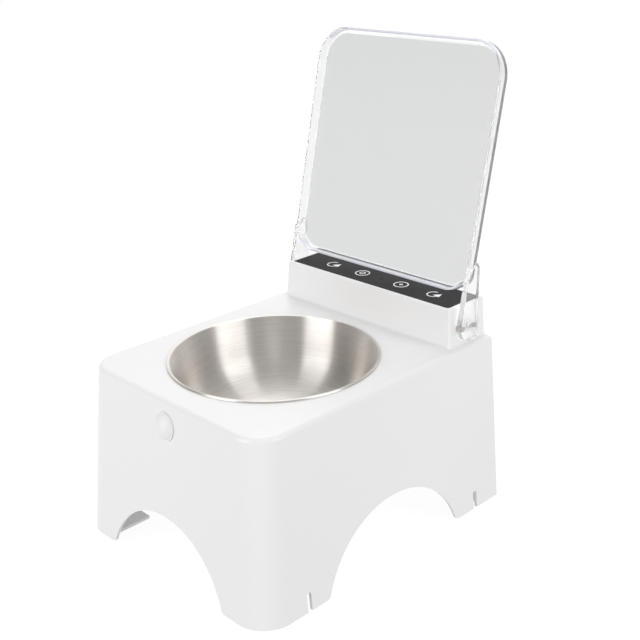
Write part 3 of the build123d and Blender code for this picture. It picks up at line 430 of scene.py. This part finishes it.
def lathe(bm, profile, centre, segments):
    """Turns a closed (radius, height) profile round a vertical axis."""
    rings = []
    for radius, height in profile:
        if radius == 0:
            rings.append([bm.verts.new((centre.x, centre.y, height))])
            continue
        ring = []
        for i in range(segments):
            angle = 2 * math.pi * i / segments
            x, y = centre.x + radius * math.cos(angle), centre.y + radius * math.sin(angle)
            ring.append(bm.verts.new((x, y, height)))
        rings.append(ring)
    for first, second in zip(rings, rings[1:]):
        for i in range(segments):
            j = (i + 1) % segments
            if len(first) == 1:
                bm.faces.new((first[0], second[i], second[j]))
            elif len(second) == 1:
                bm.faces.new((first[i], second[0], first[j]))
            else:
                bm.faces.new((first[i], second[i], second[j], first[j]))


# ---------------------------------------------------------------- lid
LID_HALF = 95.5 * MM
LID_NEAR = 23.5 * MM
LID_FAR = LID_NEAR + 189.4 * MM
LID_BACK = -3.4 * MM
LID_LIP = -12.4 * MM
LID_TOP_R = 28.0 * MM
LID_LOW_R = 22.0 * MM
CORNER_STEPS = 14

# The lid's finishes, by their place in its list of materials.
CLEAR, RIM, FIELD = 0, 1, 2


def lid_ring(inset_side, inset_low, inset_high, r_low, r_high):
    """One closed line round the lid as (across, along) points."""
    half = LID_HALF - inset_side
    low, high = LID_NEAR + inset_low, LID_FAR - inset_high
    points = []
    for x, a, r, start in (
        (half - r_low, low + r_low, r_low, -90),
        (half - r_high, high - r_high, r_high, 0),
        (-half + r_high, high - r_high, r_high, 90),
        (-half + r_low, low + r_low, r_low, 180),
    ):
        points.extend(arc((x, a), r, start, start + 90, CORNER_STEPS))
    return points


def even_ring(inset):
    """The lid's outline, moved in by the same distance all round."""
    return lid_ring(inset, inset, inset, LID_LOW_R - inset, LID_TOP_R - inset)


# The flat field's outline, with its own corner radii below and above.
FIELD_RING = lid_ring(4.8 * MM, 4.4 * MM, 4.6 * MM, 18.5 * MM, 22.5 * MM)


def between(first, second, t):
    """A ring part of the way from one ring to another."""
    return [(a[0] + (b[0] - a[0]) * t, a[1] + (b[1] - a[1]) * t) for a, b in zip(first, second)]


def tray_bands():
    """The lid's skin as rings from the middle of its back, over the rim and into the middle of its inside.
    Each entry is a ring, its distance from the hinge plane and the finish of the band that follows it."""
    edge, wall, floor = 1.6 * MM, 2.0 * MM, LID_BACK - 2.2 * MM
    bands = []
    for inset, o in arc((edge, LID_BACK - edge), edge, 90, 180, 6):
        bands.append((even_ring(inset), o, CLEAR))
    lip = 0.7 * MM
    for inset, o in arc((lip, LID_LIP + lip), lip, 180, 270, 4):
        bands.append((even_ring(inset), o, RIM))
    for inset, o in arc((wall - lip, LID_LIP + lip), lip, 270, 360, 4):
        bands.append((even_ring(inset), o, RIM))
    root = 1.2 * MM
    for inset, o in arc((wall + root, floor - root), root, 180, 90, 6):
        bands.append((even_ring(inset), o, CLEAR))
    # A low ridge runs round the border, and a step leads down from it to the flat field.
    border = even_ring(wall + root)
    ridge = 0.35 * MM
    for t, rise in ((0.30, 0.0), (0.36, 1.0), (0.44, 1.0), (0.52, 0.0), (0.93, 0.0)):
        bands.append((between(border, FIELD_RING, t), floor - ridge * rise, CLEAR))
    step = 0.9 * MM
    bands.append((between(border, FIELD_RING, 0.985), floor - 0.55 * step, CLEAR))
    bands.append((FIELD_RING, floor - step, FIELD))
    return bands


def fill_tray(bm):
    """The lid without its arms. Only the rim's upper and lower lips take the rim finish, a cloudier lavender
    tint that is painted shade standing in for the darker light refracted along the rim.
    """
    rings = []
    for ring, o, band in tray_bands():
        rings.append(([bm.verts.new(lid_space @ Vector((x, o, a))) for x, a in ring], band))
    bm.faces.new(rings[0][0])
    for (first, band), (second, _) in zip(rings, rings[1:]):
        for i in range(len(first)):
            j = (i + 1) % len(first)
            face = bm.faces.new((first[i], first[j], second[j], second[i]))
            upright = abs(first[i].co.x - first[j].co.x) < abs(first[i].co.z - first[j].co.z)
            face.material_index = CLEAR if band == RIM and upright else band
    last = bm.faces.new(rings[-1][0])
    last.material_index = FIELD


ARM_IN = 92.4 * MM
ARM_OUT = 97.2 * MM
ARM_TAIL_R = 12.6 * MM
ARM_BACK = 8.6 * MM
ARM_TOP = 49 * MM
ARM_EDGE = 0.6 * MM
SHARP_CORNER = 1.2
SHAFT_BORE_DEPTH = 5.05 * MM
SHAFT_BORE_R = 2.05 * MM
SCREW_BORE_LENGTH = 10 * MM
SCREW_BORE_R = 1.95 * MM
ROD_SIDES = 36


def arm_outline():
    """The side of a hinge arm as (out, along) points: round at the hinge, running up into the lid's rim."""
    points = [
        (LID_LIP, ARM_TOP - 7 * MM),
        (LID_BACK, ARM_TOP),
        (LID_BACK + 2.6 * MM, ARM_TOP - 4 * MM),
        (LID_BACK + 4.6 * MM, ARM_TOP - 15 * MM),
    ]
    start = -math.degrees(math.acos(ARM_BACK / ARM_TAIL_R))
    end = -180 + math.degrees(math.acos(-LID_LIP / ARM_TAIL_R))
    return points + [(ARM_BACK, 0)] + arc((0, 0), ARM_TAIL_R, start, end, 24)


def fill_arm(bm, side):
    """A hinge arm with rounded edges, on one side of the lid."""
    outline = arm_outline()
    near = [bm.verts.new(lid_space @ Vector((side * ARM_IN, o, a))) for o, a in outline]
    far = [bm.verts.new(lid_space @ Vector((side * ARM_OUT, o, a))) for o, a in outline]
    bm.faces.new(near)
    bm.faces.new(far)
    for i in range(len(outline)):
        j = (i + 1) % len(outline)
        bm.faces.new((near[i], near[j], far[j], far[i]))
    bmesh.ops.recalc_face_normals(bm, faces=bm.faces)
    rims = [e for e in bm.edges if len(e.link_faces) == 2 and e.calc_face_angle() > SHARP_CORNER]
    bmesh.ops.bevel(bm, geom=rims, offset=ARM_EDGE, segments=3, profile=0.5, affect="EDGES")


def combine(piece, mesh_maker, finishes, operation):
    """Joins or cuts a piece with a temporary tool object, and removes the tool."""
    tool = mesh_object("tool", mesh_maker, finishes)
    step = piece.modifiers.new(operation, "BOOLEAN")
    step.operation = operation
    step.solver = "EXACT"
    step.object = tool
    bpy.context.view_layer.update()
    shaped = bpy.data.meshes.new_from_object(piece.evaluated_get(bpy.context.evaluated_depsgraph_get()))
    piece.modifiers.remove(step)
    old = piece.data
    piece.data = shaped
    shaped.name = piece.name
    bpy.data.meshes.remove(old)
    bpy.data.objects.remove(tool)


def fill_rod(bm, start, length, radius, turn=0.0):
    """A rod in the lid's own space, running across the lid or turned about the lid's length."""
    place = lid_space @ Matrix.Translation(start) @ Matrix.Rotation(turn, 4, "Z")
    ends = []
    for x in (0, length):
        circle = arc((0, 0), radius, 0, 360 - 360 / ROD_SIDES, ROD_SIDES - 1)
        ends.append([bm.verts.new(place @ Vector((x, *point))) for point in circle])
    bm.faces.new(ends[0])
    bm.faces.new(ends[1])
    for i in range(ROD_SIDES):
        j = (i + 1) % ROD_SIDES
        bm.faces.new((ends[0][i], ends[0][j], ends[1][j], ends[1][i]))


def make_lid():
    """The clear lid: its tray, and two arms bored for the hinge's shafts and for the set screws."""
    finishes = (lid_clear, lid_rim_painted_shade, lid_field)
    lid = new_piece("clear_lid", fill_tray, finishes, "lid", ["lid_cover"])
    for side in (-1, 1):
        shaft_bore = (side * (ARM_IN - MM), 0, 0), side * SHAFT_BORE_DEPTH, SHAFT_BORE_R
        screw_bore = (side * (ARM_IN + ARM_OUT) / 2, 0, 0), SCREW_BORE_LENGTH, SCREW_BORE_R, math.pi / 2
        combine(lid, lambda bm: fill_arm(bm, side), finishes, "UNION")
        combine(lid, lambda bm: fill_rod(bm, *shaft_bore), finishes, "DIFFERENCE")
        combine(lid, lambda bm: fill_rod(bm, *screw_bore), finishes, "DIFFERENCE")
    # Clear plastic lets the lamps through instead of casting a solid shadow.
    lid.visible_shadow = False
    round_off(lid)


make_lid()


# ---------------------------------------------------------------- bowl
BOWL_SEGMENTS = 192


def bowl_profile():
    """The spun bowl's section: flat floor, a wide bend into a steep wall, and a thin rolled rim."""
    sheet = 0.8 * MM
    rim_r, mouth_r, floor_r, bend = 82.3 * MM, 80.0 * MM, 43.4 * MM, 32.0 * MM
    top, floor = bowl_high.z, bowl_low.z + sheet
    turn = (floor_r, floor + bend)
    out, up = mouth_r - floor_r, top - turn[1]
    end = math.atan2(up, out) - math.acos(bend / math.hypot(out, up))
    lean = math.degrees(end)
    inner = [(floor_r * i / 8, floor) for i in range(8)] + arc(turn, bend, -90, lean, 28)
    lip = 0.9 * MM
    lip_r = mouth_r + lip * math.tan(end) + lip / math.cos(end)
    mouth = arc((lip_r, top - lip), lip, 180 + lean, 90, 8)
    straight = [tuple(a + (b - a) * i / 10 for a, b in zip(inner[-1], mouth[0])) for i in range(1, 10)]
    roll = 0.7 * MM
    rim = arc((rim_r - roll, top - roll), roll, 90, -90, 10)
    back = arc(turn, bend + sheet, lean, -90, 20)
    under_r = back[0][0] - math.tan(end) * (top - 2 * roll - back[0][1])
    return inner + straight + mouth + rim + [(under_r, top - 2 * roll)] + back + [(0.0, floor - sheet)]


def fill_bowl(bm):
    """The bowl, turned from its section."""
    lathe(bm, bowl_profile(), bowl_centre, BOWL_SEGMENTS)


bowl = new_piece("spun_bowl", fill_bowl, [bowl_steel], "bowl", ["food_bowl"])
round_off(bowl, 40)


# ---------------------------------------------------------------- stage, light and camera
FLOOR_R = 9.0
LIGHT_TARGET = Vector((0, 0, 0.12))
FOCAL_LENGTH = 60.53
CAMERA_PLACE = (0.57405, -0.518, 0.47378)
CAMERA_YAW = 46.49
CAMERA_PITCH = 21.90
CAMERA_ROLL = -2.0

# Each softbox's azimuth, elevation, distance, width and height, and brightness.
SOFTBOXES = {
    "front_softbox": (-98, 19, 1.8, (1.1, 1.2), 3.0),
    "right_softbox": (10, 26, 1.8, (1.15, 1.3), 2.6),
    "top_softbox": (137, 54, 2.0, (0.75, 1.4), 2.0),
}

# Parts of the room that differ from the rest: azimuth and elevation, the angles from their middle where they
# start and stop fading, and how bright they are beside the rest.
ROOM_PATCHES = (
    (-148, 36, 6, 27, 0.25),
    (62, 36, 8, 30, 0.9),
    (128, 28, 14, 48, 2.2),
)

# The room's brightness by height: at and below the horizon, just over it, and overhead.
ROOM_TONES = ((0.0, 0.65), (0.02, 0.60), (0.9, 0.52))


def towards(azimuth, elevation):
    """The direction from the object to a place in the room, from angles in degrees."""
    a, e = math.radians(azimuth), math.radians(elevation)
    return Vector((math.cos(a) * math.cos(e), math.sin(a) * math.cos(e), math.sin(e)))


def make_floor():
    """A plain pale floor that glows white, so that the object stands on an even ground."""
    bm = bmesh.new()
    bmesh.ops.create_circle(bm, cap_ends=True, segments=96, radius=FLOOR_R)
    mesh = bpy.data.meshes.new("studio_floor")
    bm.to_mesh(mesh)
    bm.free()
    floor = bpy.data.objects.new("studio_floor", mesh)
    bpy.context.scene.collection.objects.link(floor)
    pale = Finish("floor_pale", (0.16, 0.16, 0.16), 0.9, Emission_Strength=0.9)
    pale.shader.inputs["Emission Color"].default_value = (1, 1, 1, 1)
    pale.shader.inputs["Specular IOR Level"].default_value = 0.0
    pale.material.cycles.emission_sampling = "NONE"
    mesh.materials.append(pale.material)
    floor.visible_diffuse = False


def make_light(name, azimuth, elevation, distance, size, radiance):
    """A softbox of a given width, height and brightness that faces the object from a direction."""
    lamp = bpy.data.lights.new(name, "AREA")
    lamp.shape = "RECTANGLE"
    lamp.size, lamp.size_y = size
    lamp.energy = radiance * math.pi * size[0] * size[1]
    box = bpy.data.objects.new(name, lamp)
    away = towards(azimuth, elevation)
    box.location = LIGHT_TARGET + away * distance
    box.rotation_mode = "QUATERNION"
    box.rotation_quaternion = (-away).to_track_quat("-Z", "Y")
    bpy.context.scene.collection.objects.link(box)


def shaded(tree, strength, direction, azimuth, elevation, inner, outer, gain):
    """Dims or lifts a patch of the world round a direction, fading out between two angles from its middle."""
    facing = tree.nodes.new("ShaderNodeVectorMath")
    facing.operation = "DOT_PRODUCT"
    tree.links.new(direction, facing.inputs[0])
    facing.inputs[1].default_value = towards(azimuth, elevation)
    patch = tree.nodes.new("ShaderNodeMapRange")
    patch.interpolation_type = "SMOOTHSTEP"
    tree.links.new(facing.outputs["Value"], patch.inputs["Value"])
    patch.inputs["From Min"].default_value = math.cos(math.radians(outer))
    patch.inputs["From Max"].default_value = math.cos(math.radians(inner))
    patch.inputs["To Min"].default_value = 1.0
    patch.inputs["To Max"].default_value = gain
    product = tree.nodes.new("ShaderNodeMath")
    product.operation = "MULTIPLY"
    tree.links.new(strength, product.inputs[0])
    tree.links.new(patch.outputs["Result"], product.inputs[1])
    return product.outputs[0]


def make_world():
    """Soft light from all round, a little brighter from below, with some parts darker and some brighter."""
    world = bpy.data.worlds.new("studio")
    bpy.context.scene.world = world
    world.use_nodes = True
    tree = world.node_tree
    tree.nodes.clear()
    output = tree.nodes.new("ShaderNodeOutputWorld")
    light = tree.nodes.new("ShaderNodeBackground")
    direction = tree.nodes.new("ShaderNodeTexCoord").outputs["Generated"]
    split = tree.nodes.new("ShaderNodeSeparateXYZ")
    ramp = tree.nodes.new("ShaderNodeValToRGB")
    side = tree.nodes.new("ShaderNodeMapRange")
    tree.links.new(direction, split.inputs[0])
    tree.links.new(split.outputs["Z"], ramp.inputs["Fac"])
    tree.links.new(ramp.outputs["Color"], light.inputs["Color"])
    tree.links.new(split.outputs["X"], side.inputs["Value"])
    side.inputs["From Min"].default_value = -1.0
    side.inputs["To Min"].default_value = 1.04
    side.inputs["To Max"].default_value = 0.96
    strength = side.outputs["Result"]
    for patch in ROOM_PATCHES:
        strength = shaded(tree, strength, direction, *patch)
    tree.links.new(strength, light.inputs["Strength"])
    tree.links.new(light.outputs["Background"], output.inputs["Surface"])
    tones = ramp.color_ramp.elements
    for i, (position, level) in enumerate(ROOM_TONES):
        tone = tones[i] if i < 2 else tones.new(position)
        tone.position = position
        tone.color = (*grey(level), 1)


def make_camera():
    """A camera to the front right of the feeder, looking down a little and turned slightly."""
    lens = bpy.data.cameras.new("camera")
    lens.lens = FOCAL_LENGTH
    lens.sensor_width = 36.0
    lens.clip_start = 0.01
    camera = bpy.data.objects.new("camera", lens)
    bpy.context.scene.collection.objects.link(camera)
    yaw, pitch, roll = (math.radians(angle) for angle in (CAMERA_YAW, CAMERA_PITCH, CAMERA_ROLL))
    forward = Vector((-math.sin(yaw) * math.cos(pitch), math.cos(yaw) * math.cos(pitch), -math.sin(pitch)))
    level = forward.cross(Vector((0, 0, 1))).normalized()
    upward = level.cross(forward)
    right = math.cos(roll) * level + math.sin(roll) * upward
    up = right.cross(forward)
    turn = Matrix((right, up, -forward)).transposed().to_4x4()
    camera.matrix_world = Matrix.Translation(CAMERA_PLACE) @ turn
    bpy.context.scene.camera = camera


make_floor()
make_world()
for name, settings in SOFTBOXES.items():
    make_light(name, *settings)
make_camera()
bpy.context.scene.view_settings.view_transform = "Standard"

bpy.context.view_layer.update()
